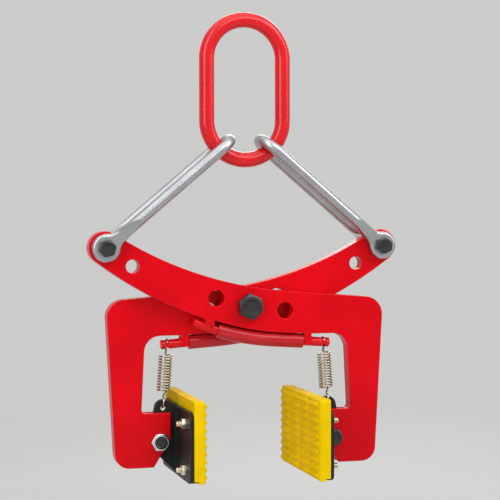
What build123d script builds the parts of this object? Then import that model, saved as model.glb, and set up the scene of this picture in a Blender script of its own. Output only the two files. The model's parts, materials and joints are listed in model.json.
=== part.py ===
"""Scissor lifting clamp: two plate arms on one pivot, hung by two bow links from a master link."""
import os
from math import cos, radians, sin, sqrt

from build123d import *

os.makedirs("parts", exist_ok=True)

# Master link, an oblong ring of round stock
ring_stock = 16.0
ring_inner_width = 66.0
ring_inner_length = 130.0

# Bow links, round bar bent to a long U with a forged eye on each leg
link_bar = 12.0
link_length = 174.0
link_leg_spread = 34.0
link_eye_diameter = 29.0
link_eye_thickness = 9.0
link_eye_edge = 3.0
link_neck_width = 16.0
link_neck_tip = 11.0
link_neck_length = 40.0
link_neck_fillet = 14.0
link_flat_start = 16.0
link_flat_end = 44.0
link_seat_angle = 40.0
seat_gap = 0.3

# Arms, cut from thick plate; lengths are taken from the pivot
arm_plate = 16.0
arm_gap = 2.0
arm_end_radius = 17.0
link_reach = 151.0
link_rise = 62.0
spare_reach = 123.0
spare_rise = 43.0
lever_half_depth = 20.5
outer_hole_x = -35.0
outer_hole_z = 9.0
inner_hole_x = 39.0
inner_hole_z = -5.0
lever_under_angle = 19.2
recess_clearance = 1.0
tab_outer_x = -49.0
tab_outer_width = 12.0
tab_outer_slope = 7.0
tab_outer_bite = 2.5
tab_inner_x = 60.0
tab_inner_width = 8.0
tab_inner_wrap = 4.0
shoulder_x = 147.5
shoulder_z = 6.5
shoulder_radius = 19.0
heel_x = 138.0
heel_z = -167.0
heel_radius = 15.0
leg_inner_top_x = 107.0
leg_inner_foot_x = 111.0
throat_z = -30.0
throat_radius = 17.0
foot_top_z = -110.5
foot_tip_x = 80.0
foot_corner_radius = 4.0
foot_slope_top_z = -138.0
foot_slope_end_x = 98.0
foot_slot_end = 2.5
plate_edge = 0.7

# Stop rods and the hose sleeves on them
rod_diameter = 10.0
rod_fit = 0.05
rod_inner_x = -58.5
rod_inner_z = -15.5
rod_bend_x = 28.0
rod_bend_z = -35.7
rod_outer_x = 89.0
rod_outer_z = -40.0
rod_end_edge = 0.8
groove_from_end = 4.5
groove_width = 4.0
groove_depth = 1.4
sleeve_wall = 2.5
sleeve_fit = 0.1
sleeve_jaw_gap = 0.6
sleeve_lever_gap = 5.0

# Fasteners: across flats, head height, nut height
pivot_shank = 17.0
pivot_flats = 24.0
pivot_head = 10.0
pivot_nut_height = 14.0
pivot_thread = 16.0
pivot_washer_diameter = 34.0
pivot_washer_thickness = 3.0
bolt_shank = 10.0
bolt_flats = 16.0
bolt_head = 6.4
lock_nut_flats = 17.0
lock_nut_height = 10.0
bolt_tail = 3.0
bush_diameter = 14.0
running_fit = 0.05
side_play = 0.3
hex_edge = 1.0
hex_turn = 30.0
lock_collar_height = 3.0
lock_collar_wall = 3.0

# Pad holders, welded from a back plate and one lug
jaw_bolt_x = 92.0
jaw_bolt_z = -140.0
plate_thickness = 4.0
plate_margin = 1.5
plate_top_drop = 11.5
plate_corner = 8.0
lip_depth = 4.5
lip_thickness = 2.6
lug_thickness = 6.0
lug_boss_radius = 11.0
ear_x = 87.0
ear_z = -106.0
ear_radius = 9.0
ear_hole = 6.0

# Gripping pads, moulded rubber with rows of low bars
pad_back_x = 69.0
pad_thickness = 12.0
pad_width = 138.0
pad_top_z = -92.5
pad_height = 83.5
pad_edge = 3.0
lip_clearance = 0.3
bar_columns = 4
bar_rows = 10
bar_length = 28.5
bar_width = 5.0
bar_height = 2.5
bar_taper = 20.0
bar_row_pitch = 8.0
bar_column_pitch = 34.0

# Studs moulded into the pads, with hexagon nuts behind the plate
stud_diameter = 6.0
stud_head_diameter = 14.0
stud_head_thickness = 3.0
stud_cover = 5.0
stud_pattern_height = 47.0
stud_pattern_width = 96.0
stud_nut_flats = 10.0
stud_nut_height = 5.0
stud_tail = 5.0

# Extension springs between a stop rod and a holder's ear
spring_wire = 2.2
spring_diameter = 15.2
spring_pitch = 2.9
spring_turns = 13.25
wire_sides = 8
hook_clearance = 0.3
lead_share = 0.94
knuckle_share = 1.12

# Places that follow from the sizes above
ring_bend = ring_inner_width / 2
ring_axis_radius = ring_bend + ring_stock / 2
ring_upper_z = -ring_bend
ring_lower_z = ring_bend - ring_inner_length
seat_radius = ring_bend - link_bar / 2 - seat_gap
bow_x = seat_radius * sin(radians(link_seat_angle))
bow_z = ring_lower_z - seat_radius * cos(radians(link_seat_angle))
link_bolt_z = bow_z - sqrt(link_length**2 - (link_reach - bow_x) ** 2)
pivot_z = link_bolt_z - link_rise
arm_mid = (arm_gap + arm_plate) / 2
pad_bottom_z = pad_top_z - pad_height
pad_mid_z = pad_top_z - pad_height / 2
plate_outer_x = pad_back_x + plate_thickness
hex_corner = 2 / sqrt(3)
rod_inner_end = (rod_inner_x, rod_inner_z)
rod_bend_start = (rod_bend_x, rod_bend_z)
rod_outer_end = (rod_outer_x, rod_outer_z)
eye_inner = arm_plate / 2 + side_play
eye_outer = eye_inner + link_eye_thickness


def side_plane(side, y_low, y_high):
    """Plane of an arm's side view: local x points to that arm's jaw, local y is up from the pivot."""
    start = y_high if side > 0 else y_low
    return Plane(origin=(0, start, pivot_z), x_dir=(side, 0, 0), z_dir=(0, -side, 0))


def across_plane(x, y, z, direction):
    """Plane square to a bolt that lies along Y, with its normal along +Y or -Y."""
    return Plane(origin=(x, y, z), x_dir=(1, 0, 0), z_dir=(0, direction, 0))


def hexagon(plane, flats, height, edge):
    """Add a hexagon head or nut blank on a plane, with its outer rim eased."""
    with BuildSketch(plane) as blank:
        RegularPolygon(radius=flats / 2 * hex_corner, side_count=6, rotation=hex_turn)
    extrude(blank.sketch, amount=height)
    with BuildSketch(plane) as turned:
        Circle(flats / 2 * hex_corner)
    rim = extrude(turned.sketch, amount=height, mode=Mode.PRIVATE)
    far = rim.faces().sort_by(lambda face: face.center().dot(plane.z_dir))[-1]
    add(rim.chamfer(edge, edge, far.edges()), mode=Mode.INTERSECT)


def bore(plane, diameter, depth):
    """Cut a round hole from a plane, along its normal."""
    with BuildSketch(plane) as round_hole:
        Circle(diameter / 2)
    extrude(round_hole.sketch, amount=depth, mode=Mode.SUBTRACT)


def shank(plane, diameter, length):
    """Add a round shank on a plane, along its normal."""
    with BuildSketch(plane) as round_bar:
        Circle(diameter / 2)
    extrude(round_bar.sketch, amount=length)


def lock_nut(plane, flats, height, bolt):
    """Add a lock nut on a plane: a hexagon with a round collar for its nylon ring, bored for a bolt."""
    hexagon(plane, flats, height - lock_collar_height, hex_edge)
    shank(plane, bolt + 2 * lock_collar_wall, height)
    bore(plane, bolt + 2 * running_fit, height)


def flat(point):
    """Side-view coordinates of a point."""
    return (point.X, point.Y)


def finish(piece, name):
    """Name a finished piece and write it out."""
    piece.part.label = name
    export_step(piece.part, f"parts/{name}.step")


# Master link
with BuildPart() as master_link:
    with BuildLine(Plane.XZ) as ring_path:
        left_limb = Line((-ring_axis_radius, ring_lower_z), (-ring_axis_radius, ring_upper_z))
        crown = RadiusArc(left_limb @ 1, (ring_axis_radius, ring_upper_z), ring_axis_radius)
        right_limb = Line(crown @ 1, (ring_axis_radius, ring_lower_z))
        RadiusArc(right_limb @ 1, left_limb @ 0, ring_axis_radius)
    with BuildSketch(Plane(origin=left_limb @ 0, z_dir=left_limb % 0)):
        Circle(ring_stock / 2)
    sweep(path=ring_path.wires()[0])
finish(master_link, "master_link")

# Rod route in an arm's side view: straight to the jaw side, bent up to follow the lever
with BuildLine() as rod_route:
    rod_straight = Line(rod_outer_end, rod_bend_start)
    rod_bent = TangentArc(rod_straight @ 1, rod_inner_end, tangent=rod_straight % 1)
straight_run = rod_outer_x - rod_bend_x
bent_run = rod_bend_x - rod_inner_x
rod_tab_z = (rod_straight @ ((rod_outer_x - tab_inner_x) / straight_run)).Y
sleeve_share = (rod_bend_x - tab_outer_x - tab_outer_width - sleeve_lever_gap) / bent_run
sleeve_start = flat(rod_straight @ ((rod_outer_x - tab_inner_x + sleeve_jaw_gap) / straight_run))
sleeve_middle = flat(rod_bent @ (sleeve_share / 2))
sleeve_end = flat(rod_bent @ sleeve_share)
rod_bend_middle = flat(rod_bent @ 0.5)


def recess_point(route, share, x=None):
    """Point straight above the rod's route where the arm's edge clears the sleeve."""
    spot = route @ share
    rise = (rod_diameter / 2 + sleeve_fit + sleeve_wall + recess_clearance) / abs((route % share).X)
    return (spot.X if x is None else x, spot.Y + rise)


def tab_point(x):
    """Lower edge of the outer tab at x, where the rod's top sits in it by the tab's bite."""
    axis_z = (rod_bent @ ((rod_bend_x - x) / bent_run)).Y
    return (x, axis_z + rod_diameter / 2 - tab_outer_bite)


recess_share = (rod_bend_x - tab_outer_x - tab_outer_width) / bent_run
recess_inner = recess_point(rod_straight, (rod_outer_x - tab_inner_x) / straight_run, tab_inner_x)
recess_middle = recess_point(rod_bent, recess_share / 2)
recess_end = recess_point(rod_bent, recess_share, tab_outer_x + tab_outer_width)

# Lever outline in an arm's side view: both long edges are arcs that run into the end circle without a corner
arm_end = Vector(-link_reach, link_rise)
lever_top = Vector(inner_hole_x, inner_hole_z + lever_half_depth)
lever_top_way = (lever_top - Vector(shoulder_x, shoulder_z)).normalized()
lever_under = Vector(tab_outer_x, outer_hole_z - lever_half_depth)
lever_under_way = Vector(-1, 0).rotate(Axis.Z, -lever_under_angle)
top_side = lever_top_way.rotate(Axis.Z, -90)
top_span = lever_top - arm_end
top_room = arm_end_radius - top_span.dot(top_side)
top_radius = (top_span.dot(top_span) - arm_end_radius**2) / 2 / top_room
top_arc_centre = lever_top + top_side * top_radius
end_top = arm_end + (top_arc_centre - arm_end).normalized() * arm_end_radius
under_side = lever_under_way.rotate(Axis.Z, -90)
under_span = lever_under - arm_end
under_room = arm_end_radius + under_span.dot(under_side)
under_radius = (arm_end_radius**2 - under_span.dot(under_span)) / 2 / under_room
under_arc_centre = lever_under + under_side * under_radius
end_under = arm_end + (arm_end - under_arc_centre).normalized() * arm_end_radius
end_tip = arm_end + (end_top - end_under).rotate(Axis.Z, 90).normalized() * arm_end_radius

for side, arm_name, label in ((1, "front_arm", "front"), (-1, "rear_arm", "rear")):
    arm_y = -side * arm_mid
    arm_low = arm_y - arm_plate / 2
    arm_high = arm_y + arm_plate / 2
    plane = side_plane(side, arm_low, arm_high)
    rod_plane = side_plane(side, arm_y, arm_y)

    # Arm: curved lever, shoulder, leg and inward foot in one plate
    with BuildPart() as arm:
        with BuildSketch(plane) as outline:
            with BuildLine():
                TangentArc(flat(lever_top), flat(end_top), tangent=flat(lever_top_way))
                Polyline(flat(lever_top), (shoulder_x, shoulder_z), (heel_x, heel_z),
                         (foot_slope_end_x, heel_z), (foot_tip_x, foot_slope_top_z), (foot_tip_x, foot_top_z),
                         (leg_inner_foot_x, foot_top_z), (leg_inner_top_x, throat_z),
                         (tab_inner_x + tab_inner_width, throat_z),
                         (tab_inner_x + tab_inner_width, rod_tab_z - tab_inner_wrap),
                         (tab_inner_x, rod_tab_z - tab_inner_wrap), recess_inner)
                ThreePointArc(recess_inner, recess_middle, recess_end)
                Polyline(recess_end, tab_point(tab_outer_x + tab_outer_width),
                         tab_point(tab_outer_x + tab_outer_slope), flat(lever_under))
                TangentArc(flat(lever_under), flat(end_under), tangent=flat(lever_under_way))
                ThreePointArc(flat(end_under), flat(end_tip), flat(end_top))
            make_face()
            corners = outline.vertices()
            fillet(corners.sort_by_distance((shoulder_x, shoulder_z))[0], shoulder_radius)
            fillet(outline.vertices().sort_by_distance((heel_x, heel_z))[0], heel_radius)
            fillet(outline.vertices().sort_by_distance((leg_inner_top_x, throat_z))[0], throat_radius)
            fillet(outline.vertices().sort_by_distance((leg_inner_foot_x, foot_top_z))[0], foot_corner_radius)
            with Locations((-link_reach, link_rise), (-spare_reach, spare_rise)):
                Circle(bush_diameter / 2 + running_fit, mode=Mode.SUBTRACT)
            with Locations((0, 0), (outer_hole_x, outer_hole_z), (inner_hole_x, inner_hole_z)):
                Circle(pivot_shank / 2 + running_fit, mode=Mode.SUBTRACT)
            with Locations((jaw_bolt_x, jaw_bolt_z)):
                Circle(bolt_shank / 2 + running_fit, mode=Mode.SUBTRACT)
        extrude(amount=arm_plate)
        chamfer(arm.faces().filter_by(Axis.Y).edges(), plate_edge)
        foot_slot = lug_thickness + 2 * side_play
        with BuildSketch(side_plane(side, arm_y - foot_slot / 2, arm_y + foot_slot / 2)):
            with Locations((jaw_bolt_x + lug_boss_radius + foot_slot_end, foot_top_z)):
                Rectangle(jaw_bolt_x, foot_top_z - heel_z, align=(Align.MAX, Align.MAX))
        extrude(amount=foot_slot, mode=Mode.SUBTRACT)
        with BuildLine(rod_plane) as slot_path:
            Line(rod_outer_end, rod_bend_start)
            ThreePointArc(rod_bend_start, rod_bend_middle, rod_inner_end)
        with BuildSketch(Plane(origin=slot_path.line @ 0, z_dir=slot_path.line % 0)):
            Circle(rod_diameter / 2 + rod_fit)
        sweep(path=slot_path.line, mode=Mode.SUBTRACT)
    finish(arm, arm_name)

    # Stop rod: bent round bar laid in the arm's two tabs, grooved for the spring's hook
    with BuildPart() as rod:
        with BuildLine(rod_plane) as rod_path:
            Line(rod_outer_end, rod_bend_start)
            ThreePointArc(rod_bend_start, rod_bend_middle, rod_inner_end)
        rod_end = Plane(origin=rod_path.line @ 0, z_dir=rod_path.line % 0)
        with BuildSketch(rod_end):
            Circle(rod_diameter / 2)
        sweep(path=rod_path.line)
        ends = rod.faces().filter_by(GeomType.PLANE)
        chamfer(ends.edges(), rod_end_edge)
        with BuildSketch(rod_end.offset(groove_from_end)):
            Circle(rod_diameter)
            Circle(rod_diameter / 2 - groove_depth, mode=Mode.SUBTRACT)
        extrude(amount=groove_width, mode=Mode.SUBTRACT)
    finish(rod, f"{label}_stop_rod")

    # Sleeve: thick hose pushed on the rod between the tabs
    with BuildPart() as sleeve:
        with BuildLine(rod_plane) as sleeve_path:
            Line(sleeve_start, rod_bend_start)
            ThreePointArc(rod_bend_start, sleeve_middle, sleeve_end)
        with BuildSketch(Plane(origin=sleeve_path.line @ 0, z_dir=sleeve_path.line % 0)):
            Circle(rod_diameter / 2 + sleeve_fit + sleeve_wall)
            Circle(rod_diameter / 2 + sleeve_fit, mode=Mode.SUBTRACT)
        sweep(path=sleeve_path.line)
    finish(sleeve, f"{label}_sleeve")

# Pivot: fitted bolt from the front, spacer between the arms, washer and lock nut behind
pivot_front = -arm_gap / 2 - arm_plate
pivot_rear = arm_gap / 2 + arm_plate + side_play
with BuildPart() as pivot_bolt:
    head_plane = across_plane(0, pivot_front, pivot_z, -1)
    hexagon(head_plane, pivot_flats, pivot_head, hex_edge)
    grip = pivot_rear - pivot_front
    shank(across_plane(0, pivot_front, pivot_z, 1), pivot_shank, grip)
    shank(across_plane(0, pivot_rear, pivot_z, 1), pivot_thread,
          pivot_washer_thickness + pivot_nut_height + bolt_tail)
finish(pivot_bolt, "pivot_bolt")

with BuildPart() as pivot_spacer:
    spacer_plane = across_plane(0, -arm_gap / 2, pivot_z, 1)
    shank(spacer_plane, pivot_washer_diameter, arm_gap - side_play)
    bore(spacer_plane, pivot_shank + 2 * running_fit, arm_gap)
finish(pivot_spacer, "pivot_spacer")

with BuildPart() as pivot_washer:
    washer_plane = across_plane(0, pivot_rear, pivot_z, 1)
    shank(washer_plane, pivot_washer_diameter, pivot_washer_thickness)
    bore(washer_plane, pivot_thread + 2 * running_fit, pivot_washer_thickness)
finish(pivot_washer, "pivot_washer")

with BuildPart() as pivot_nut:
    nut_plane = across_plane(0, pivot_rear + pivot_washer_thickness, pivot_z, 1)
    lock_nut(nut_plane, pivot_flats, pivot_nut_height, pivot_thread)
finish(pivot_nut, "pivot_nut")

for side, label in ((1, "left"), (-1, "right")):
    arm_y = -side * arm_mid
    eye = Vector(-side * link_reach, arm_y, link_bolt_z)
    bow = Vector(-side * bow_x, 0, bow_z)
    along = (bow - eye).normalized()
    across = (Vector(0, 1, 0) - along * along.Y).normalized()
    link_plane = Plane(origin=eye, x_dir=along, z_dir=along.cross(across))
    reach = (bow - eye).length
    half_spread = link_leg_spread / 2
    bend_start = reach - half_spread

    # Bow bar: it leans from its arm's plane to the ring's plane, and is forged flat towards the eyes
    with BuildPart() as bow_bar:
        with BuildLine(link_plane) as bow_path:
            near_leg = Line((link_eye_diameter / 2, -half_spread), (bend_start, -half_spread))
            bend = ThreePointArc(near_leg @ 1, (reach, 0), (bend_start, half_spread))
            Line(bend @ 1, (link_eye_diameter / 2, half_spread))
        with BuildSketch(Plane(origin=bow_path.line @ 0, z_dir=bow_path.line % 0)):
            Circle(link_bar / 2)
        sweep(path=bow_path.wires()[0])
        bar_outside = half_spread + link_bar / 2
        clear_outside = bar_outside + link_bar
        with BuildSketch(link_plane):
            for face in (1, -1):
                with BuildLine():
                    Polyline((0, face * eye_outer), (link_flat_start, face * eye_outer),
                             (link_flat_end, face * bar_outside), (link_flat_end, face * clear_outside),
                             (0, face * clear_outside), close=True)
                make_face()
        extrude(amount=link_bar, both=True, mode=Mode.SUBTRACT)

    # Link: two forged eyes, square to the bolt, whose necks run out into the bow bar
    with BuildPart() as link:
        for face in (1, -1):
            eye_plane = Plane(origin=(eye.X, arm_y + face * eye_inner, eye.Z), x_dir=(along.X, 0, along.Z),
                              z_dir=(0, face, 0))
            with BuildSketch(eye_plane) as eye_outline:
                Circle(link_eye_diameter / 2)
                with BuildLine():
                    Polyline((0, link_neck_width / 2), (link_neck_length, link_neck_tip / 2),
                             (link_neck_length, -link_neck_tip / 2), (0, -link_neck_width / 2), close=True)
                make_face()
                for way in (1, -1):
                    near_root = (link_neck_width, way * link_neck_width / 2)
                    fillet(eye_outline.vertices().sort_by_distance(near_root)[0], link_neck_fillet)
            extrude(eye_outline.sketch, amount=link_eye_thickness)
            rim = link.faces().filter_by(Axis.Y).sort_by(Axis.Y)[-1 if face > 0 else 0]
            fillet(rim.edges(), link_eye_edge)
            with BuildSketch(Plane(origin=(eye.X, arm_y, eye.Z), x_dir=(along.X, 0, along.Z),
                                   z_dir=(-along.Z, 0, along.X))) as neck_slope:
                with BuildLine():
                    Polyline((link_eye_diameter / 2, face * eye_inner), (link_neck_length, face * eye_outer),
                             (link_neck_length, 0), (link_eye_diameter / 2, 0), close=True)
                make_face()
            extrude(neck_slope.sketch, amount=link_eye_diameter, both=True, mode=Mode.SUBTRACT)
        add(bow_bar.part)
        bore(across_plane(eye.X, arm_y - eye_outer - link_bar, eye.Z, 1), bolt_shank + 2 * running_fit,
             2 * (eye_outer + link_bar))
    finish(link, f"{label}_link")

    # Link bolt, its bush in the arm and its lock nut
    with BuildPart() as link_bolt:
        bolt_face = across_plane(eye.X, arm_y - eye_outer, eye.Z, -1)
        hexagon(bolt_face, bolt_flats, bolt_head, hex_edge)
        shank(across_plane(eye.X, arm_y - eye_outer, eye.Z, 1), bolt_shank,
              2 * eye_outer + lock_nut_height + bolt_tail)
    finish(link_bolt, f"{label}_link_bolt")

    with BuildPart() as link_bush:
        bush_plane = across_plane(eye.X, arm_y - eye_inner, eye.Z, 1)
        shank(bush_plane, bush_diameter, 2 * eye_inner)
        bore(bush_plane, bolt_shank + 2 * running_fit, 2 * eye_inner)
    finish(link_bush, f"{label}_link_bush")

    with BuildPart() as link_nut:
        link_nut_plane = across_plane(eye.X, arm_y + eye_outer, eye.Z, 1)
        lock_nut(link_nut_plane, lock_nut_flats, lock_nut_height, bolt_shank)
    finish(link_nut, f"{label}_link_nut")

for side, label in ((1, "right"), (-1, "left")):
    arm_y = -side * arm_mid
    arm_low = arm_y - arm_plate / 2
    arm_high = arm_y + arm_plate / 2
    lug_low = arm_y - lug_thickness / 2
    lug_high = arm_y + lug_thickness / 2
    jaw_x = side * jaw_bolt_x
    jaw_z = pivot_z + jaw_bolt_z
    plate_height = pad_height - plate_top_drop
    plate_mid_z = pivot_z + pad_bottom_z + plate_height / 2
    back_plane = Plane(origin=(side * pad_back_x, arm_y, plate_mid_z), x_dir=(0, 1, 0), z_dir=(side, 0, 0))

    # Pad holder: back plate with a bottom lip, and one lug that swings on the jaw bolt
    with BuildPart() as holder:
        with BuildSketch(back_plane):
            RectangleRounded(pad_width - 2 * plate_margin, plate_height, plate_corner)
        extrude(amount=plate_thickness)
        with BuildSketch(Plane.XY.offset(pivot_z + pad_bottom_z)):
            with Locations((side * (pad_back_x - lip_depth / 2), arm_y)):
                Rectangle(lip_depth, pad_width - 2 * plate_margin - 2 * plate_corner)
        extrude(amount=lip_thickness)
        with BuildSketch(side_plane(side, lug_low, lug_high)):
            with Locations((ear_x, ear_z)):
                Circle(ear_radius)
            with Locations((jaw_bolt_x, jaw_bolt_z)):
                Circle(lug_boss_radius)
            with Locations((plate_outer_x, plate_mid_z - pivot_z)):
                Rectangle(plate_thickness, plate_height - plate_thickness, align=(Align.MAX, Align.CENTER))
            make_hull()
            with Locations((jaw_bolt_x, jaw_bolt_z)):
                Circle(bolt_shank / 2 + running_fit, mode=Mode.SUBTRACT)
            with Locations((ear_x, ear_z)):
                Circle(ear_hole / 2, mode=Mode.SUBTRACT)
        extrude(amount=lug_thickness)
        with BuildSketch(back_plane):
            with GridLocations(stud_pattern_width, stud_pattern_height, 2, 2):
                Circle(stud_diameter / 2 + running_fit)
        extrude(amount=plate_thickness, mode=Mode.SUBTRACT)
    finish(holder, f"{label}_pad_holder")

    # Pad: moulded block with rows of bars on its grip face and a rebate for the lip
    with BuildPart() as pad:
        pad_plane = Plane(origin=(side * pad_back_x, arm_y, pivot_z + pad_mid_z), x_dir=(0, 1, 0),
                          z_dir=(-side, 0, 0))
        with BuildSketch(pad_plane):
            Rectangle(pad_width, pad_height)
        extrude(amount=pad_thickness)
        grip_face = pad.faces().sort_by(Axis.X)[0 if side > 0 else -1]
        fillet(grip_face.edges(), pad_edge)
        with BuildSketch(pad_plane.offset(pad_thickness)):
            with GridLocations(bar_column_pitch, bar_row_pitch, bar_columns, bar_rows):
                Rectangle(bar_length, bar_width)
        extrude(amount=bar_height, taper=bar_taper)
        with BuildSketch(Plane.XY.offset(pivot_z + pad_bottom_z)):
            with Locations((side * pad_back_x, arm_y)):
                Rectangle(2 * (lip_depth + lip_clearance), pad_width)
        extrude(amount=lip_thickness + lip_clearance, mode=Mode.SUBTRACT)
        stud_plane = Plane(origin=(side * pad_back_x, arm_y, plate_mid_z), x_dir=(0, 1, 0),
                           z_dir=(-side, 0, 0))
        with BuildSketch(stud_plane):
            with GridLocations(stud_pattern_width, stud_pattern_height, 2, 2):
                Circle(stud_diameter / 2)
        extrude(amount=stud_cover, mode=Mode.SUBTRACT)
        with BuildSketch(stud_plane.offset(stud_cover - stud_head_thickness)):
            with GridLocations(stud_pattern_width, stud_pattern_height, 2, 2):
                Circle(stud_head_diameter / 2)
        extrude(amount=stud_head_thickness, mode=Mode.SUBTRACT)
    finish(pad, f"{label}_pad")

    # Studs bonded into the pad, and their nuts
    with BuildPart() as studs:
        with BuildSketch(stud_plane.offset(stud_cover - stud_head_thickness)):
            with GridLocations(stud_pattern_width, stud_pattern_height, 2, 2):
                Circle(stud_head_diameter / 2)
        extrude(amount=stud_head_thickness)
        with BuildSketch(stud_plane.offset(stud_cover - stud_head_thickness)):
            with GridLocations(stud_pattern_width, stud_pattern_height, 2, 2):
                Circle(stud_diameter / 2)
        extrude(amount=-(stud_cover - stud_head_thickness + plate_thickness + stud_nut_height + stud_tail))
    finish(studs, f"{label}_pad_studs")

    with BuildPart() as stud_nuts:
        nut_face = back_plane.offset(plate_thickness)
        with BuildSketch(nut_face):
            with GridLocations(stud_pattern_width, stud_pattern_height, 2, 2):
                RegularPolygon(radius=stud_nut_flats / 2 * hex_corner, side_count=6)
                Circle(stud_diameter / 2 + running_fit, mode=Mode.SUBTRACT)
        extrude(amount=stud_nut_height)
    finish(stud_nuts, f"{label}_pad_nuts")

    # Jaw bolt and lock nut: the right bolt goes in from the front, the left one from behind
    front_face = arm_low
    rear_face = arm_high
    head_face, head_way, nut_face_y, nut_way = (
        (front_face, -1, rear_face, 1) if side > 0 else (rear_face, 1, front_face, -1))
    with BuildPart() as jaw_bolt:
        hexagon(across_plane(jaw_x, head_face, jaw_z, head_way), bolt_flats, bolt_head, hex_edge)
        shank(across_plane(jaw_x, head_face, jaw_z, nut_way), bolt_shank,
              rear_face - front_face + lock_nut_height + bolt_tail)
    finish(jaw_bolt, f"{label}_jaw_bolt")

    with BuildPart() as jaw_nut:
        jaw_nut_plane = across_plane(jaw_x, nut_face_y, jaw_z, nut_way)
        lock_nut(jaw_nut_plane, lock_nut_flats, lock_nut_height, bolt_shank)
    finish(jaw_nut, f"{label}_jaw_nut")

    # Spring: open coil with a ring at each end, one round the rod's groove, one through the ear
    groove_share = (groove_from_end + groove_width / 2) / rod_straight.length
    groove_spot = rod_straight @ groove_share
    wire_radius = spring_wire / 2
    coil_radius = spring_diameter / 2 - wire_radius
    top_ring = rod_diameter / 2 - groove_depth + hook_clearance + wire_radius
    ear_bridge = (ear_radius - ear_hole / 2) / 2
    low_ring = sqrt((lug_thickness / 2) ** 2 + ear_bridge**2) + hook_clearance + wire_radius
    top_centre = Vector(side * groove_spot.X, arm_y, pivot_z + groove_spot.Y)
    low_centre = Vector(side * ear_x, arm_y, pivot_z + ear_z + ear_hole / 2 + ear_bridge)
    span = (top_centre - low_centre).length
    coil_height = spring_pitch * spring_turns
    coil_start = (span - top_ring + low_ring - coil_height) / 2
    pull = (top_centre - low_centre).normalized()
    with BuildPart() as spring:
        with BuildLine() as coil_path:
            Helix(pitch=spring_pitch, height=coil_height, radius=coil_radius,
                  center=low_centre + pull * coil_start, direction=pull)
        with BuildSketch(Plane(origin=coil_path.line @ 0, z_dir=coil_path.line % 0)):
            RegularPolygon(radius=wire_radius, side_count=wire_sides)
        sweep(path=coil_path.line, is_frenet=True)
        hooks = ((0, low_centre, low_ring, 1), (1, top_centre, top_ring, -1))
        for turn_end, ring_centre, ring_radius, way in hooks:
            coil_end = coil_path.line @ turn_end
            ring_end = ring_centre + pull * (way * ring_radius)
            with BuildLine() as lead:
                Line(coil_end, ring_end)
            with BuildSketch(Plane(origin=coil_end, z_dir=lead.line % 0)):
                Circle(wire_radius * lead_share)
            sweep(path=lead.line)
            with Locations(coil_end, ring_end):
                Sphere(wire_radius * knuckle_share)
            with BuildSketch(Plane(origin=ring_centre, x_dir=(0, 1, 0), z_dir=(0, 0, 1))):
                with Locations((ring_radius, 0)):
                    Circle(wire_radius)
            revolve(axis=Axis(ring_centre, (1, 0, 0)))
    finish(spring, f"{label}_spring")
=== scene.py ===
"""Looks of the scissor lifting clamp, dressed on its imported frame. Sizes are in metres."""
import json
import math

import bmesh
import bpy
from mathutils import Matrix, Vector


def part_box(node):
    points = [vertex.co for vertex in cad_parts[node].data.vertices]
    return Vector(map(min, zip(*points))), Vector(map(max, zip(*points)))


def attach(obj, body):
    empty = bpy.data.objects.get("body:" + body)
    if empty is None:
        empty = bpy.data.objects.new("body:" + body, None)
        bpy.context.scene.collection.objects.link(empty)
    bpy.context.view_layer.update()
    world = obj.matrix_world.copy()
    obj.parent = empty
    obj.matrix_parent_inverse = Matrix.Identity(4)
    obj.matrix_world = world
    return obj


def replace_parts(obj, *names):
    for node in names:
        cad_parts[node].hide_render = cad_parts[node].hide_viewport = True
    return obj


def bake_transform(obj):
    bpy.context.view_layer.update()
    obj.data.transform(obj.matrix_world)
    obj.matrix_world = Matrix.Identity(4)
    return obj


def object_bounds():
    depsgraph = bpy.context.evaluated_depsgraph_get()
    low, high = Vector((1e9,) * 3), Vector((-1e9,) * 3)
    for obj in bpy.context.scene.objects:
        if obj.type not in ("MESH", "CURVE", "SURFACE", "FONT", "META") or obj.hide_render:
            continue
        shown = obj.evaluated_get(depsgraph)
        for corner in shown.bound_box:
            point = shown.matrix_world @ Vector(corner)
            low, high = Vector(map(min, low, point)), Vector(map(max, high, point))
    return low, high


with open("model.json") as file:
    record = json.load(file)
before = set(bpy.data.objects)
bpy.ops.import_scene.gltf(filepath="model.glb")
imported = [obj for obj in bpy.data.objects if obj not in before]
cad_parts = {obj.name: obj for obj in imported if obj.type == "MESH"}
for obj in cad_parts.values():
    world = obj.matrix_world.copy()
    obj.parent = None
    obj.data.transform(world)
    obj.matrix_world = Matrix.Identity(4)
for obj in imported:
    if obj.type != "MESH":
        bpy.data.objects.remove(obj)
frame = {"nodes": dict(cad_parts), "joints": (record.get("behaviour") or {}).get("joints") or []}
cad_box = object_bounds()

# Master link: the oblong ring that the crane hook takes, and in which both bow links hang.
# It is round steel bar, bent to shape, butt welded and finished in gloss red enamel.


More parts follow.
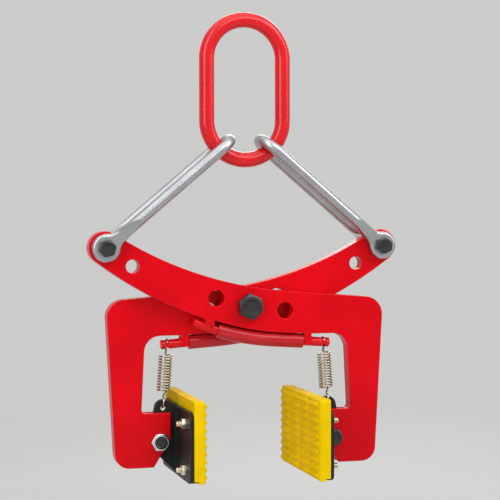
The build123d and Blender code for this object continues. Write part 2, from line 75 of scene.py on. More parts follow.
class Shade:
    """One output of a shader node. Arithmetic on it adds Math nodes to the same tree."""

    def __init__(self, tree, output=None):
        self.tree = tree
        self.output = output

    def node(self, kind, settings, inputs, output=0):
        """Add a node from its type, its settings, and the values or links of its sockets."""
        made = self.tree.nodes.new("ShaderNode" + kind)
        for name, value in settings.items():
            setattr(made, name, value)
        for name, value in inputs.items():
            if isinstance(value, Shade):
                self.tree.links.new(value.output, made.inputs[name])
            else:
                made.inputs[name].default_value = value
        return Shade(self.tree, made.outputs[output] if len(made.outputs) else None)

    def maths(self, operation, first, second):
        """Add the Math node of one operator."""
        return self.node("Math", {"operation": operation}, {0: first, 1: second})

    def __add__(self, other):
        return self.maths("ADD", self, other)

    def __sub__(self, other):
        return self.maths("SUBTRACT", self, other)

    def __rsub__(self, other):
        return self.maths("SUBTRACT", other, self)

    def __mul__(self, other):
        return self.maths("MULTIPLY", self, other)

    __radd__ = __add__
    __rmul__ = __mul__

    def between(self, low, high):
        """0 below low, 1 above high and a smooth rise between."""
        return self.node("MapRange", {"interpolation_type": "SMOOTHSTEP"},
                         {"Value": self, "From Min": low, "From Max": high})

    def tint(self, first, second):
        """Colour that turns from first to second as this mask rises."""
        # A Mix node's sockets share their names, so the colours go by number: in at 6 and 7, out at 2.
        return self.node("Mix", {"data_type": "RGBA"}, {0: self, 6: first, 7: second}, 2)


def toned(colour, share):
    """The same colour, darker for a share under 1 and paler for one above it."""
    return [part * share for part in colour[:3]] + [1.0]


def new_finish(name):
    """An empty material and the shade that its nodes start from."""
    material = bpy.data.materials.new(name)
    material.use_nodes = True
    material.node_tree.nodes.clear()
    return material, Shade(material.node_tree)


def surface(finish, sockets):
    """Close a finish with one shader that has these sockets."""
    shader = finish.node("BsdfPrincipled", {}, sockets)
    finish.node("OutputMaterial", {}, {"Surface": shader})


def mottle(finish, size, detail, stretch=(1.0, 1.0, 1.0), tilt=0.0):
    """Cloudy pattern, its patches about size across and longer along a stretched axis, tilted about Y."""
    place = finish.node("TexCoord", {}, {}, "Object")
    laid = finish.node("Mapping", {"vector_type": "TEXTURE"},
                       {"Vector": place, "Rotation": (0.0, tilt, 0.0),
                        "Scale": [size * reach for reach in stretch]})
    return finish.node("TexNoise", {}, {"Vector": laid, "Scale": 1.0, "Detail": detail})


edge_samples = 8


def worn_edge(finish, width):
    """Mask that is 1 along sharp edges and 0 on open faces."""
    eased = finish.node("Bevel", {"samples": edge_samples}, {"Radius": width})
    plain = finish.node("NewGeometry", {}, {}, "Normal")
    match = finish.node("VectorMath", {"operation": "DOT_PRODUCT"}, {0: eased, 1: plain}, "Value")
    return 1 - match


def relief(finish, height, depth, edge_round=0.0):
    """Normal of a surface with this height pattern on it, depth high, and edges rounded by the coating."""
    inputs = {"Strength": 1.0, "Distance": depth, "Height": height}
    if edge_round:
        inputs["Normal"] = finish.node("Bevel", {"samples": edge_samples}, {"Radius": edge_round})
    return finish.node("Bump", {}, inputs)


def enamel(name, colour, thin_paint_and_highlight_colour, edge_rub_and_highlight, gloss, edge_round=0.0):
    """Gloss enamel on steel: orange peel, faint clouding, and rubbed edges tinted pale as a painted
    highlight.
    """
    cloud_size = 0.045
    dull_patch = 0.012
    peel_size = 0.004
    peel_depth = 0.0000015
    rubbed_width = 0.0012
    rubbed_patch = 0.006
    material, finish = new_finish(name)
    cloud = mottle(finish, cloud_size, detail=3.0).between(0.3, 0.7)
    dull = mottle(finish, dull_patch, detail=4.0).between(0.45, 0.8)
    peel = mottle(finish, peel_size, detail=1.0)
    # Mask along the edges. It thins and rubs the paint, and its pale tint on the edges is also a painted
    # highlight.
    rubbing = worn_edge(finish, rubbed_width) * edge_rub_and_highlight * (mottle(finish, rubbed_patch, detail=4.0) + 0.35)
    edge = rubbing.between(0.05, 0.5)
    body = cloud.tint(toned(colour, 0.86), colour)
    surface(finish, {"Base Color": edge.tint(body, thin_paint_and_highlight_colour),
                     "Roughness": 0.2 + dull * 0.1 + edge * 0.15,
                     "Specular IOR Level": 0.08, "Normal": relief(finish, peel, peel_depth, edge_round),
                     "Coat Weight": gloss + edge * 0.5, "Coat Roughness": 0.26})
    return material


def dress(names, material):
    """Give CAD nodes a finish."""
    for name in names:
        for slot in frame["nodes"][name].material_slots:
            slot.material = material


red = (0.74, 0.001, 0.007, 1.0)
# Paler red along enamel edges: rubbed paint, and a painted highlight on the edges.
red_rubbed_and_highlight = (0.90, 0.17, 0.18, 1.0)
dress(["master_link"], enamel("ring_enamel", red, red_rubbed_and_highlight, edge_rub_and_highlight=1.0, gloss=0.75))

# Bow links: two long U bows, each with a forged eye on both legs, astride the arms' ends.
# They are bent from round steel bar and bright zinc plated, with fine draw lines along the bar.


def bright_steel(name, colour, dull_colour, roughness, draw=(1.0, 1.0, 1.0), tilt=0.0):
    """Bright plated steel with clouded plating, draw lines, dull spots and clean edges."""
    cloud_size = 0.02
    line_width = 0.0009
    line_depth = 0.0000004
    spot_size = 0.005
    clean_width = 0.0008
    material, finish = new_finish(name)
    cloud = mottle(finish, cloud_size, detail=3.0).between(0.3, 0.75)
    lines = mottle(finish, line_width, detail=2.0, stretch=draw, tilt=tilt)
    spots = mottle(finish, spot_size, detail=4.0, stretch=draw, tilt=tilt).between(0.62, 0.8)
    edge = worn_edge(finish, clean_width).between(0.05, 0.4)
    body = (cloud * 0.5 + spots * 0.5).tint(colour, dull_colour)
    surface(finish, {"Base Color": edge.tint(body, colour), "Metallic": 1.0,
                     "Roughness": roughness + cloud * 0.06 + lines * 0.04 + spots * 0.08,
                     "Normal": relief(finish, lines, line_depth)})
    return material


zinc = (0.47, 0.48, 0.495, 1.0)
zinc_dull = (0.33, 0.34, 0.355, 1.0)
link_roughness = 0.31
bar_draw = (30.0, 1.0, 1.0)
anchors = {joint["name"]: Vector(joint["pos_m"]) for joint in frame["joints"]}
bar_run = anchors["left_link_swing"] - anchors["front_arm_swing"]
bar_slope = math.atan2(bar_run.z, bar_run.x)
for side, tilt in (("left", -bar_slope), ("right", bar_slope)):
    link_plating = bright_steel(f"{side}_link_plating", zinc, zinc_dull, link_roughness, bar_draw, tilt)
    dress([f"{side}_link"], link_plating)

# Link bolts: one hexagon bolt through both eyes and the bush in the arm, with a lock nut behind.
# The bolts are blackened steel with rolled threads, the nuts are zinc plated with a nylon ring.


def black_steel(name, colour, rubbed_colour):
    """Oil-blackened steel, rubbed a little brighter on its corners."""
    cloud_size = 0.006
    cloud_depth = 0.00002
    rubbed_width = 0.0008
    rubbed_patch = 0.003
    material, finish = new_finish(name)
    cloud = mottle(finish, cloud_size, detail=4.0)
    rubbing = worn_edge(finish, rubbed_width) * (mottle(finish, rubbed_patch, detail=3.0) + 0.5)
    edge = rubbing.between(0.06, 0.45)
    body = cloud.between(0.35, 0.7).tint(colour, toned(colour, 1.7))
    surface(finish, {"Base Color": edge.tint(body, rubbed_colour), "Metallic": edge * 0.7,
                     "Roughness": 0.24 + cloud * 0.14, "Specular IOR Level": 0.5,
                     "Normal": relief(finish, cloud, cloud_depth)})
    return material


def plain_nylon(name, colour):
    """Moulded nylon, slightly waxy."""
    grain_size = 0.0015
    grain_depth = 0.00002
    material, finish = new_finish(name)
    grain = mottle(finish, grain_size, detail=2.0)
    surface(finish, {"Base Color": grain.tint(colour, toned(colour, 0.85)),
                     "Roughness": 0.4 + grain * 0.15, "Normal": relief(finish, grain, grain_depth)})
    return material


blacking = (0.014, 0.0135, 0.014, 1.0)
blacking_rubbed = (0.16, 0.155, 0.155, 1.0)
nylon_black = (0.02, 0.021, 0.025, 1.0)
nut_zinc = (0.74, 0.75, 0.78, 1.0)
nut_zinc_dull = (0.5, 0.5, 0.52, 1.0)
nut_roughness = 0.2
nut_draw = (1.0, 4.0, 1.0)
bolt_blacking = black_steel("bolt_blacking", blacking, blacking_rubbed)
nut_plating = bright_steel("nut_plating", nut_zinc, nut_zinc_dull, nut_roughness, nut_draw)
nut_nylon = plain_nylon("nut_nylon", nylon_black)
turn_steps = 48
rings_per_pitch = 6


def circle(radius, height):
    """Round ring of a turned piece."""
    return [(radius, height)] * turn_steps


def hexagon(flats, height, corner, slope=0.0, crown=0.0):
    """Hexagon ring with one corner at this turn, chamfered at this slope from the crown's radius."""
    ring = []
    for step in range(turn_steps):
        turn = 360.0 * step / turn_steps
        reach = flats / 2 / math.cos(math.radians((turn - corner) % 60.0 - 30.0))
        ring.append((reach, height + slope * (reach - crown)))
    return ring


def thread(radius, pitch, start, end):
    """Rings of a rolled thread from start to end."""
    depth = 0.5 * pitch
    count = round((end - start) / pitch * rings_per_pitch)
    rings = []
    for index in range(count + 1):
        height = start + (end - start) * index / count
        ring = []
        for step in range(turn_steps):
            phase = (height / pitch - step / turn_steps) % 1.0
            ring.append((radius - depth * abs(2.0 * phase - 1.0), height))
        rings.append(ring)
    return rings


def turned(shape, rings, origin, axis, looped=False, slot=0):
    """Add rings, skinned together, along an axis from an origin; an open piece gets end faces."""
    across = Vector((0, 0, 1)) if abs(axis.y) > 0.5 else Vector((0, 1, 0))
    up = axis.cross(across)
    skin = []
    for ring in rings:
        corners = []
        for step, (radius, height) in enumerate(ring):
            turn = math.tau * step / turn_steps
            spot = origin + axis * height + (across * math.cos(turn) + up * math.sin(turn)) * radius
            corners.append(shape.verts.new(spot))
        skin.append(corners)
    pairs = list(zip(skin, skin[1:]))
    if looped:
        pairs.append((skin[-1], skin[0]))
    else:
        shape.faces.new(skin[0]).material_index = slot
        shape.faces.new(skin[-1]).material_index = slot
    for low, high in pairs:
        for step in range(turn_steps):
            after = (step + 1) % turn_steps
            face = shape.faces.new((low[step], low[after], high[after], high[step]))
            face.material_index = slot


def settle(name, shape, materials, body, crease=35.0):
    """Turn a shape into a piece that rides on a body, or on none yet."""
    bmesh.ops.recalc_face_normals(shape, faces=shape.faces)
    mesh = bpy.data.meshes.new(name)
    shape.to_mesh(mesh)
    shape.free()
    mesh.shade_smooth()
    mesh.set_sharp_from_angle(angle=math.radians(crease))
    for material in materials:
        mesh.materials.append(material)
    piece = bpy.data.objects.new(name, mesh)
    bpy.context.scene.collection.objects.link(piece)
    if body:
        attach(piece, body)
    return piece


def ends_of(node, way):
    """Start point and length of a fastener along Y: way is +1 where its head is in front."""
    low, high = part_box(node)
    middle = (low + high) / 2
    start = low.y if way > 0 else high.y
    return Vector((middle.x, start, middle.z)), high.y - low.y


def hex_bolt(node, body, way, corner, flats, head, fitted, shank, pitch, threaded):
    """Hexagon bolt: recessed head, washer face, fitted length and a rolled thread of its own diameter."""
    origin, length = ends_of(node, way)
    crown = flats * 0.43
    crown_slope = 0.55
    recess = crown * 0.68
    recess_rim = crown * 0.78
    recess_depth = flats * 0.045
    washer_face = flats * 0.475
    washer_height = 0.0004
    point = shank / 2 - pitch * 0.7
    rings = [circle(recess, recess_depth), circle(recess_rim, 0.0), circle(crown, 0.0),
             hexagon(flats, 0.0, corner, crown_slope, crown), hexagon(flats, head - washer_height, corner),
             circle(washer_face, head - washer_height), circle(washer_face, head),
             circle(fitted / 2, head), circle(fitted / 2, length - threaded)]
    rings += thread(shank / 2, pitch, length - threaded, length - pitch)
    rings.append(circle(point, length))
    shape = bmesh.new()
    turned(shape, rings, origin, Vector((0, way, 0)))
    piece = settle(node + "_dressed", shape, [bolt_blacking], body)
    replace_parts(piece, node)


def lock_nut(node, body, way, corner, flats, bore):
    """Hexagon lock nut: the collar on its outer end holds a nylon ring."""
    origin, height = ends_of(node, way)
    axis = Vector((0, way, 0))
    crown = flats * 0.475
    crown_slope = 0.5
    lead_in = 0.0006
    collar = bore + 0.003
    collar_base = height - 0.003
    collar_fillet = 0.0004
    collar_shoulder = height - 0.0008
    collar_crest = collar - 0.0007
    lip = collar - 0.0012
    nylon_seat = height - 0.0006
    nylon_reach = lip - 0.00005
    nylon_bore = bore - 0.0001
    nylon_base = height - 0.0016
    nylon_throat = height - 0.0008
    nylon_rim = height - 0.0004
    nylon_crest = height - 0.0003
    steel = [circle(bore, lead_in), circle(bore + lead_in, 0.0), circle(crown, 0.0),
             hexagon(flats, 0.0, corner, crown_slope, crown),
             hexagon(flats, collar_base, corner, -crown_slope, crown), circle(crown, collar_base),
             circle(collar, collar_base + collar_fillet), circle(collar, collar_shoulder),
             circle(collar_crest, height), circle(lip, height), circle(lip, nylon_seat),
             circle(bore, nylon_seat)]
    nylon = [circle(nylon_reach, nylon_base), circle(nylon_reach, nylon_rim),
             circle(bore + lead_in, nylon_crest), circle(nylon_bore, nylon_throat),
             circle(nylon_bore, nylon_base)]
    shape = bmesh.new()
    turned(shape, steel, origin, axis, looped=True)
    turned(shape, nylon, origin, axis, looped=True, slot=1)
    piece = settle(node + "_dressed", shape, [nut_plating, nut_nylon], body)
    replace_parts(piece, node)


small_bolt = {"flats": 0.016, "head": 0.0064, "fitted": 0.010,
              "shank": 0.010, "pitch": 0.0015, "threaded": 0.016}
small_nut = {"flats": 0.017, "bore": 0.005}
for side, corner in (("left", 15.0), ("right", 7.5)):
    hex_bolt(f"{side}_link_bolt", f"{side}_link", way=1, corner=corner, **small_bolt)
    lock_nut(f"{side}_link_nut", f"{side}_link", way=1, corner=corner, **small_nut)
dress(["left_link_bush", "right_link_bush"], nut_plating)

# Arms: two steel plates cut to one outline, each a curved lever, a leg and an inward foot.
# They cross at the pivot and are sprayed in the ring's red, with less gloss and paler edges: rubbed paint
# and a painted highlight.
dress(["front_arm", "rear_arm"],
      enamel("arm_enamel", red, red_rubbed_and_highlight, edge_rub_and_highlight=1.6, gloss=0.08, edge_round=0.0008))

# Stop rods: bent round bar laid in the two tabs under each lever and welded there.
# The rod and its weld beads are painted over with the arm.
rod_enamel = enamel("rod_enamel", red, red_rubbed_and_highlight, edge_rub_and_highlight=1.0, gloss=0.45)
dress(["front_stop_rod", "rear_stop_rod"], rod_enamel)
wire_sides = 10
bead_radius = 0.0017
bead_crease = 60.0
ripple_length = 0.0016
ripple_points = 4
ripple_share = 0.16
end_share = 0.45
rod_radius = 0.005
inner_tab_x = 0.068
inner_rod_z = -0.0385
inner_weld_start = -35.0
inner_weld_turn = 250.0
inner_weld_steps = 24
outer_tab_x = -0.037
outer_weld_setback = -0.005
outer_rod_z = -0.0233
outer_rod_slope = -0.342
outer_weld_turn = 60.0
outer_weld_steps = 12
outer_weld_lean = 1.4


def drawn_wire(shape, points, radii):
    """Add a round wire along points, with its radius at each of them and flat ends."""
    way = (points[1] - points[0]).normalized()
    beside = way.orthogonal().normalized()
    rings = []
    for index, (point, radius) in enumerate(zip(points, radii)):
        ahead = points[min(index + 1, len(points) - 1)] - points[max(index - 1, 0)]
        turned_way = ahead.normalized()
        beside = (way.rotation_difference(turned_way) @ beside).normalized()
        way = turned_way
        over = way.cross(beside)
        ring = []
        for step in range(wire_sides):
            turn = math.tau * step / wire_sides
            ring.append(shape.verts.new(point + (beside * math.cos(turn) + over * math.sin(turn)) * radius))
        rings.append(ring)
    for ring, after in zip(rings, rings[1:]):
        for step in range(wire_sides):
            following = (step + 1) % wire_sides
            shape.faces.new((ring[step], ring[following], after[following], after[step]))
    shape.faces.new(rings[0])
    shape.faces.new(rings[-1])


def weld_bead(shape, corners):
    """Add a weld bead along corners: even ripples, thinner at both ends."""
    lengths = [(after - corner).length for corner, after in zip(corners, corners[1:])]
    count = round(sum(lengths) / ripple_length) * ripple_points
    points = []
    radii = []
    for index in range(count + 1):
        run = sum(lengths) * index / count
        span = 0
        while span < len(lengths) - 1 and run > lengths[span]:
            run -= lengths[span]
            span += 1
        points.append(corners[span].lerp(corners[span + 1], run / lengths[span]))
        ripple = abs(math.sin(math.pi * index / ripple_points))
        to_end = min(1.0, min(index, count - index) / ripple_points)
        radii.append(bead_radius * (1 - ripple_share * (1 - ripple)) * (1 - end_share * (1 - to_end)))
    drawn_wire(shape, points, radii)


for arm, way in (("front", 1.0), ("rear", -1.0)):
    rod_low, rod_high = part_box(f"{arm}_stop_rod")
    pivot = Vector((0.0, (rod_low.y + rod_high.y) / 2, anchors["arm_pivot"].z))
    shape = bmesh.new()
    around = []
    for step in range(inner_weld_steps + 1):
        turn = math.radians(inner_weld_start + inner_weld_turn * step / inner_weld_steps)
        around.append(pivot + Vector((way * inner_tab_x, math.cos(turn) * rod_radius,
                                      inner_rod_z + math.sin(turn) * rod_radius)))
    weld_bead(shape, around)
    over = []
    for step in range(outer_weld_steps + 1):
        turn = math.radians(outer_weld_turn * (2 * step / outer_weld_steps - 1.0))
        rise = rod_radius * (math.cos(turn) - math.cos(math.radians(outer_weld_turn)))
        along = outer_weld_setback - rise * outer_weld_lean
        over.append(Vector((along, math.sin(turn) * rod_radius, math.cos(turn) * rod_radius)))
    line = [Vector((0.0, over[0].y, over[0].z))] + over + [Vector((0.0, over[-1].y, over[-1].z))]
    weld_bead(shape, [pivot + Vector((way * (outer_tab_x + spot.x), spot.y,
                                      outer_rod_z + outer_rod_slope * spot.x + spot.z)) for spot in line])
    settle(f"{arm}_rod_welds", shape, [rod_enamel], f"{arm}_arm", bead_crease)

# Sleeves: a length of thick hose on each stop rod, where the opposite arm comes to rest.
# They are smooth dark red vinyl, cut square and pushed on the rod between its two tabs.


def vinyl_hose(name, colour, scuffed_colour):
    """Smooth vinyl hose with dull scuffs along its length."""
    scuff_size = 0.003
    scuff_run = (6.0, 1.0, 1.0)
    grain_size = 0.0012
    grain_run = (8.0, 1.0, 1.0)
    grain_depth = 0.00001
    material, finish = new_finish(name)
    scuff = mottle(finish, scuff_size, detail=3.0, stretch=scuff_run).between(0.5, 0.8)
    grain = mottle(finish, grain_size, detail=2.0, stretch=grain_run)
    surface(finish, {"Base Color": scuff.tint(colour, scuffed_colour), "Roughness": 0.3 + scuff * 0.15,
                     "Specular IOR Level": 0.1, "Normal": relief(finish, grain, grain_depth),
                     "Coat Weight": 0.4, "Coat Roughness": 0.14})
    return material


hose_red = (0.50, 0.010, 0.016, 1.0)
hose_scuffed = (0.56, 0.035, 0.04, 1.0)
dress(["front_sleeve", "rear_sleeve"], vinyl_hose("hose_vinyl", hose_red, hose_scuffed))

# Pivot: one fitted bolt through both arms, with a spacer between them and a washer and nut behind.
# The bolt is blackened steel with a rolled thread, the rest is zinc plated.
pivot_bolt = {"flats": 0.024, "head": 0.010, "fitted": 0.017,
              "shank": 0.016, "pitch": 0.002, "threaded": 0.020}
pivot_nut = {"flats": 0.024, "bore": 0.008}
hex_bolt("pivot_bolt", "front_arm", way=1, corner=-7.5, **pivot_bolt)
lock_nut("pivot_nut", "front_arm", way=1, corner=15.0, **pivot_nut)
dress(["pivot_spacer", "pivot_washer"], nut_plating)

# Jaw bolts: each carries a pad holder in the slot of an arm's foot, black with a zinc plated nut.
# The right one goes in from the front and the left one from behind, so its lock nut shows.
jaw_corner = 30.0
for side, arm, way in (("right", "front_arm", 1), ("left", "rear_arm", -1)):
    hex_bolt(f"{side}_jaw_bolt", arm, way, jaw_corner, **small_bolt)
    lock_nut(f"{side}_jaw_nut", arm, way, jaw_corner, **small_nut)

# Pad holders: a back plate with a bottom lip and one lug, cut from steel plate.
# They are welded in the two corners beside the lug and painted satin black.


def satin_paint(name, colour, chipped_colour):
    """Satin paint on plate, with fine chips along its edges."""
    cloud_size = 0.02
    peel_size = 0.0014
    peel_depth = 0.00005
    edge_round = 0.001
    chip_width = 0.001
    chip_patch = 0.0025
    material, finish = new_finish(name)
    cloud = mottle(finish, cloud_size, detail=3.0)
    peel = mottle(finish, peel_size, detail=1.0)
    chipping = worn_edge(finish, chip_width) * (mottle(finish, chip_patch, detail=4.0) + 0.3)
    chips = chipping.between(0.16, 0.4)
    body = cloud.tint(colour, toned(colour, 1.8))
    surface(finish, {"Base Color": chips.tint(body, chipped_colour), "Roughness": 0.38 + cloud * 0.16,
                     "Metallic": chips * 0.8, "Specular IOR Level": 0.2,
                     "Normal": relief(finish, peel, peel_depth, edge_round)})
    return material


holder_black = (0.012, 0.011, 0.011, 1.0)
holder_chipped = (0.30, 0.29, 0.28, 1.0)
holder_paint = satin_paint("holder_paint", holder_black, holder_chipped)
dress(["left_pad_holder", "right_pad_holder"], holder_paint)
plate_from_bolt = 0.019
lug_half_thickness = 0.003
lug_weld_half_length = 0.030
for side, way in (("right", 1.0), ("left", -1.0)):
    bolt = anchors[f"{side}_jaw_tilt"]
    holder_low, holder_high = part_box(f"{side}_pad_holder")
    shape = bmesh.new()
    for face in (1.0, -1.0):
        corner = Vector((bolt.x - way * plate_from_bolt,
                         (holder_low.y + holder_high.y) / 2 + face * lug_half_thickness, bolt.z))
        reach = Vector((0.0, 0.0, lug_weld_half_length))
        weld_bead(shape, [corner - reach, corner + reach])
    settle(f"{side}_lug_welds", shape, [holder_paint], f"{side}_jaw", bead_crease)

# Gripping pads: blocks of yellow polyurethane with rows of low bars on the grip face.
# They are cast round the heads of their studs and rebated at the bottom for the holder's lip.


def cast_rubber(name, colour, worn_colour):
    """Cast polyurethane: even colour, soft sheen, and pale scuffs on what stands proud."""
    cloud_size = 0.02
    grain_size = 0.0011
    grain_depth = 0.00004
    scuff_width = 0.0012
    scuff_patch = 0.005
    material, finish = new_finish(name)
    cloud = mottle(finish, cloud_size, detail=3.0).between(0.3, 0.7)
    grain = mottle(finish, grain_size, detail=3.0)
    scuffing = worn_edge(finish, scuff_width) * (mottle(finish, scuff_patch, detail=4.0) + 0.2)
    scuff = scuffing.between(0.12, 0.6)
    body = cloud.tint(colour, toned(colour, 0.9))
    surface(finish, {"Base Color": scuff.tint(body, worn_colour), "Roughness": 0.5 + grain * 0.18,
                     "Specular IOR Level": 0.03, "Normal": relief(finish, grain, grain_depth)})
    return material


pad_yellow = (0.84, 0.565, 0.001, 1.0)
pad_worn = (0.86, 0.60, 0.006, 1.0)
pad_rubber = cast_rubber("pad_rubber", pad_yellow, pad_worn)
bar_columns = 4
bar_rows = 10
bar_length = 0.0285
bar_width = 0.005
bar_height = 0.0025
bar_draft = 0.0012
bar_column_pitch = 0.034
bar_row_pitch = 0.008
bar_round = 0.0008
bar_round_steps = 3
pad_round = 0.0028
pad_round_steps = 4
pad_crease = 50.0
rim_angle = 60.0
speck = 0.00001
lip_rebate_depth = 0.0048
lip_rebate_height = 0.0029


def bar_edges(low, high, count, pitch, width):
    """Lines across the pad: its two edges and both edges of every bar."""
    first = (low + high) / 2 - pitch * (count - 1) / 2
    lines = [low]
    for index in range(count):
        middle = first + pitch * index
        lines += [middle - width / 2, middle + width / 2]
    return lines + [high]


for side, way in (("right", 1.0), ("left", -1.0)):
    low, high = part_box(f"{side}_pad")
    back = high.x if way > 0 else low.x
    grip = back - way * (high.x - low.x - bar_height)
    rebate = back - way * lip_rebate_depth
    rebate_top = low.z + lip_rebate_height
    across = bar_edges(low.y, high.y, bar_columns, bar_column_pitch, bar_length)
    upward = bar_edges(low.z, high.z, bar_rows, bar_row_pitch, bar_width)
    outline = [(back, rebate_top), (rebate, rebate_top), (rebate, low.z)]
    first_grip = len(outline)
    outline += [(grip, z) for z in upward] + [(back, high.z)]
    shape = bmesh.new()
    rows = [[shape.verts.new((x, y, z)) for x, z in outline] for y in across]
    for row, beside in zip(rows, rows[1:]):
        for index in range(len(outline)):
            after = (index + 1) % len(outline)
            shape.faces.new((row[index], row[after], beside[after], beside[index]))
    shape.faces.new(rows[0])
    shape.faces.new(rows[-1])
    bmesh.ops.recalc_face_normals(shape, faces=shape.faces)
    bar_faces = []
    for column in range(bar_columns):
        for line in range(bar_rows):
            near = rows[2 * column + 1]
            far = rows[2 * column + 2]
            start = first_grip + 2 * line + 1
            corners = {near[start], near[start + 1], far[start], far[start + 1]}
            bar_faces += [face for face in near[start].link_faces if set(face.verts) == corners]
    raised = bmesh.ops.extrude_discrete_faces(shape, faces=bar_faces)["faces"]
    for face in raised:
        middle = face.calc_center_median()
        for corner in face.verts:
            inward = middle - corner.co
            corner.co += Vector((-way * bar_height, math.copysign(bar_draft, inward.y),
                                 math.copysign(bar_draft, inward.z)))
    crests = {edge for face in raised for edge in face.edges}
    crests |= {edge for face in raised for corner in face.verts for edge in corner.link_edges}
    bmesh.ops.bevel(shape, geom=list(crests), offset=bar_round, segments=bar_round_steps, profile=0.5,
                    affect="EDGES")
    rim = [edge for edge in shape.edges
           if edge.is_manifold and edge.calc_face_angle() > math.radians(rim_angle)
           and all(abs(corner.co.x - grip) < bar_round for corner in edge.verts)]
    rim += [edge for edge in shape.edges if edge.calc_length() > bar_length / 3
            and all(min(corner.co.z - low.z, high.z - corner.co.z) < bar_round for corner in edge.verts)
            and all(min(corner.co.y - low.y, high.y - corner.co.y) < bar_round for corner in edge.verts)]
    bmesh.ops.bevel(shape, geom=rim, offset=pad_round, segments=pad_round_steps, profile=0.5,
                    affect="EDGES")
    bmesh.ops.dissolve_degenerate(shape, edges=shape.edges, dist=speck)
    piece = settle(f"{side}_pad_moulding", shape, [pad_rubber], f"{side}_jaw", pad_crease)
    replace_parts(piece, f"{side}_pad")

# Pad studs: four threaded studs in each pad, with plain nuts behind the plate.
# They are steel, zinc plated and passivated to a pale yellow.
stud_zinc = (0.82, 0.76, 0.60, 1.0)
stud_zinc_dull = (0.58, 0.52, 0.40, 1.0)
stud_roughness = 0.2
stud_plating = bright_steel("stud_plating", stud_zinc, stud_zinc_dull, stud_roughness)
stud_radius = 0.003
stud_pitch = 0.001
stud_point = 0.0006
stud_head_radius = 0.007
stud_head_thickness = 0.003
stud_nut_flats = 0.010
stud_nut_crown = 0.00475
stud_nut_slope = 0.5
stud_nut_corner = 0.0
stud_nut_lead_in = 0.0005
for side, way in (("right", 1.0), ("left", -1.0)):
    low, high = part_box(f"{side}_pad_studs")
    nuts_low, nuts_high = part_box(f"{side}_pad_nuts")
    start = low.x if way > 0 else high.x
    seat = nuts_low.x if way > 0 else nuts_high.x
    length = high.x - low.x
    nut_height = nuts_high.x - nuts_low.x
    stud_rings = [circle(stud_head_radius, 0.0), circle(stud_head_radius, stud_head_thickness),
                  circle(stud_radius, stud_head_thickness)]
    stud_rings += thread(stud_radius, stud_pitch, abs(seat - start), length - stud_point)
    stud_rings.append(circle(stud_radius - stud_point, length))
    nut_rings = [circle(stud_radius, stud_nut_lead_in), circle(stud_radius + stud_nut_lead_in, 0.0),
                 circle(stud_nut_crown, 0.0),
                 hexagon(stud_nut_flats, 0.0, stud_nut_corner, stud_nut_slope, stud_nut_crown),
                 hexagon(stud_nut_flats, nut_height, stud_nut_corner, -stud_nut_slope, stud_nut_crown),
                 circle(stud_nut_crown, nut_height), circle(stud_radius + stud_nut_lead_in, nut_height),
                 circle(stud_radius, nut_height - stud_nut_lead_in)]
    studs = bmesh.new()
    nuts = bmesh.new()
    for y in (low.y + stud_head_radius, high.y - stud_head_radius):
        for z in (low.z + stud_head_radius, high.z - stud_head_radius):
            turned(studs, stud_rings, Vector((start, y, z)), Vector((way, 0, 0)))
            turned(nuts, nut_rings, Vector((seat, y, z)), Vector((way, 0, 0)), looped=True)
    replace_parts(settle(f"{side}_pad_studs_dressed", studs, [stud_plating], f"{side}_jaw"),
                f"{side}_pad_studs")
    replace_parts(settle(f"{side}_pad_nuts_dressed", nuts, [stud_plating], f"{side}_jaw"),
                f"{side}_pad_nuts")

# Springs: each draws the ear of its pad holder up to the end of the stop rod.
# They are coiled from round steel wire, plated a pale yellow, with a hook bent at each end.
spring_zinc = (0.50, 0.45, 0.365, 1.0)
spring_zinc_dull = (0.33, 0.29, 0.23, 1.0)
spring_roughness = 0.22
spring_plating = bright_steel("spring_plating", spring_zinc, spring_zinc_dull, spring_roughness)
spring_wire = 0.0022
spring_diameter = 0.0152
spring_turns = 13
spring_pitch = 0.0029
spring_crease = 60.0
turn_points = 28
coil_start = 65.0
hook_turn = 250.0
hook_points = 24
lead_points = 8
lead_reach = 1.6
groove_from_end = 0.0065
groove_rise = 0.0054
rod_ring = 0.0050
ear_ring = 0.0056
ear_offset = Vector((-0.005, 0.0, 0.040))


def bend(start, start_way, end, end_way):
    """Points of a smooth lead from one direction into another, without its two ends."""
    points = []
    for index in range(1, lead_points):
        part = index / lead_points
        points.append(start * (2 * part**3 - 3 * part**2 + 1) + start_way * (part**3 - 2 * part**2 + part)
                      + end * (3 * part**2 - 2 * part**3) + end_way * (part**3 - part**2))
    return points


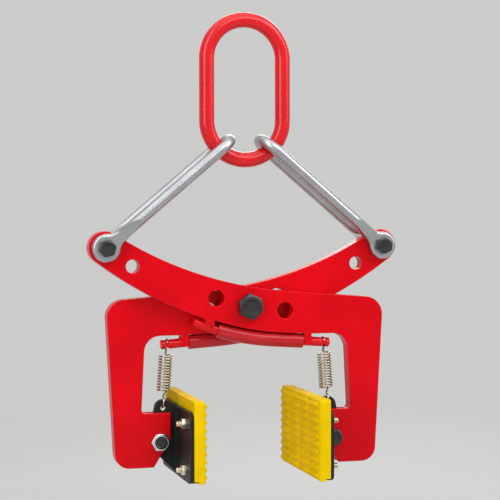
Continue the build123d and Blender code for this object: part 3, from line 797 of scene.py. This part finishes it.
for side, way, arm in (("right", 1.0, "front"), ("left", -1.0, "rear")):
    rod_low, rod_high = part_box(f"{arm}_stop_rod")
    rod_tip = rod_high.x if way > 0 else rod_low.x
    hook_top = Vector((rod_tip - way * groove_from_end, (rod_low.y + rod_high.y) / 2,
                       rod_low.z + groove_rise))
    hook_low = anchors[f"{side}_jaw_tilt"] + Vector((ear_offset.x * way, ear_offset.y, ear_offset.z))
    hook_low.y = hook_top.y
    pull = (hook_top - hook_low).normalized()
    fore = Vector((0, 1, 0))
    beam = fore.cross(pull)
    reach = (hook_top - hook_low).length
    coil_height = spring_turns * spring_pitch
    coil_base = hook_low + pull * ((reach + ear_ring - rod_ring - coil_height) / 2)
    radius = (spring_diameter - spring_wire) / 2
    low_hook = []
    top_hook = []
    for step in range(hook_points + 1):
        turn = math.radians(-hook_turn + hook_turn * step / hook_points)
        low_hook.append(hook_low + (pull * math.cos(turn) + fore * math.sin(turn)) * ear_ring)
        turn = math.radians(180.0 + hook_turn * step / hook_points)
        top_hook.append(hook_top + (pull * math.cos(turn) - fore * math.sin(turn)) * rod_ring)
    coil = []
    for step in range(spring_turns * turn_points + 1):
        turn = math.radians(coil_start) + math.tau * step / turn_points
        rise = spring_pitch * step / turn_points
        coil.append(coil_base + pull * rise + (beam * math.cos(turn) + fore * math.sin(turn)) * radius)
    run = radius * lead_reach
    low_lead = bend(low_hook[-1], (low_hook[-1] - low_hook[-2]).normalized() * run,
                    coil[0], (coil[1] - coil[0]).normalized() * run)
    top_lead = bend(coil[-1], (coil[-1] - coil[-2]).normalized() * run,
                    top_hook[0], (top_hook[1] - top_hook[0]).normalized() * run)
    shape = bmesh.new()
    wire_line = low_hook + low_lead + coil + top_lead + top_hook
    drawn_wire(shape, wire_line, [spring_wire / 2] * len(wire_line))
    piece = settle(f"{side}_spring_coil", shape, [spring_plating], None, spring_crease)
    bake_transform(piece)
    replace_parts(piece, f"{side}_spring")

# Studio: a round pale floor under the hanging clamp, soft boxes round it, and the camera.
# The floor is matt paper that takes the clamp's shadow, and away from the clamp it runs
# into a backdrop of the same even tone on all sides.
lowest = cad_box[0][2]
middle = (Vector(cad_box[0]) + Vector(cad_box[1])) / 2
floor_drop = 0.090
floor_radius = 14.0
floor_steps = 96
shadow_radius = 0.45
backdrop_radius = 1.5
fibre_size = 0.05
paper_white = (0.62, 0.62, 0.612, 1.0)
backdrop_tone = (0.60, 0.60, 0.594, 1.0)
fill_tone = (0.28, 0.285, 0.29, 1.0)


def in_view(finish):
    """Mask of the rays that show the backdrop: from the camera, off gloss and through glass."""
    kinds = ("Camera", "Glossy", "Transmission")
    rays = [finish.node("LightPath", {}, {}, f"Is {kind} Ray") for kind in kinds]
    return sum(rays).between(0.0, 1.0)


paper, finish = new_finish("floor_paper")
fibre = mottle(finish, fibre_size, detail=4.0)
sheet = finish.node("BsdfPrincipled", {}, {"Base Color": fibre.tint(paper_white, toned(paper_white, 0.985)),
                                           "Roughness": 0.75 + fibre * 0.1})
glow = finish.node("Emission", {}, {"Color": backdrop_tone})
place = finish.node("TexCoord", {}, {}, "Object")
distance = finish.node("VectorMath", {"operation": "LENGTH"}, {0: place}, "Value")
away = distance.between(shadow_radius, backdrop_radius)
ground = finish.node("MixShader", {}, {0: in_view(finish) * away, 1: sheet, 2: glow})
finish.node("OutputMaterial", {}, {"Surface": ground})

shape = bmesh.new()
centre = shape.verts.new((0.0, 0.0, 0.0))
rim = []
for step in range(floor_steps):
    turn = math.tau * step / floor_steps
    rim.append(shape.verts.new((math.cos(turn) * floor_radius, math.sin(turn) * floor_radius, 0.0)))
for step in range(floor_steps):
    shape.faces.new((centre, rim[step - 1], rim[step]))
mesh = bpy.data.meshes.new("studio_floor")
shape.to_mesh(mesh)
shape.free()
mesh.materials.append(paper)
studio_floor = bpy.data.objects.new("studio_floor", mesh)
studio_floor.location = (middle.x, middle.y, lowest - floor_drop)
bpy.context.scene.collection.objects.link(studio_floor)


def soft_box(name, place, target, width, height, power):
    """Area light at a place, turned to a target, both measured from the clamp's middle."""
    lamp = bpy.data.lights.new(name, "AREA")
    lamp.shape = "RECTANGLE"
    lamp.size = width
    lamp.size_y = height
    lamp.energy = power
    lamp_object = bpy.data.objects.new(name, lamp)
    lamp_object.location = middle + Vector(place)
    lamp_object.rotation_euler = (Vector(target) - Vector(place)).to_track_quat("-Z", "Y").to_euler()
    bpy.context.scene.collection.objects.link(lamp_object)


clamp = (0.0, 0.0, 0.0)
soft_box("left_box", (-1.5, -1.3, 0.8), clamp, width=0.7, height=1.9, power=20.0)
soft_box("right_box", (1.5, -0.8, 1.0), clamp, width=0.5, height=1.8, power=11.0)
soft_box("top_box", (0.60, -1.25, 1.05), clamp, width=1.6, height=0.6, power=12.5)
soft_box("ceiling_box", (-0.3, -0.3, 1.6), (-0.3, -0.3, 0.0), width=2.0, height=2.0, power=13.0)
soft_box("rear_box", (0.7, 1.7, 0.9), clamp, width=1.2, height=0.8, power=11.0)

world = bpy.data.worlds.new("studio_air")
world.use_nodes = True
world.node_tree.nodes.clear()
air = Shade(world.node_tree)
sky = air.node("Background", {}, {"Color": in_view(air).tint(fill_tone, backdrop_tone)})
air.node("OutputWorld", {}, {"Surface": sky})
bpy.context.scene.world = world

camera_place = (-0.4210, -1.5674, -0.1829)
camera_pitch = 90.0 - 1.75
camera_roll = 0.11
camera_turn = -15.22
camera_data = bpy.data.cameras.new("camera")
camera_data.sensor_width = 36.0
camera_data.lens = 111.4
camera = bpy.data.objects.new("camera", camera_data)
camera.location = camera_place
camera.rotation_euler = [math.radians(angle) for angle in (camera_pitch, camera_roll, camera_turn)]
bpy.context.scene.collection.objects.link(camera)
bpy.context.scene.camera = camera
bpy.context.scene.view_settings.view_transform = "Standard"
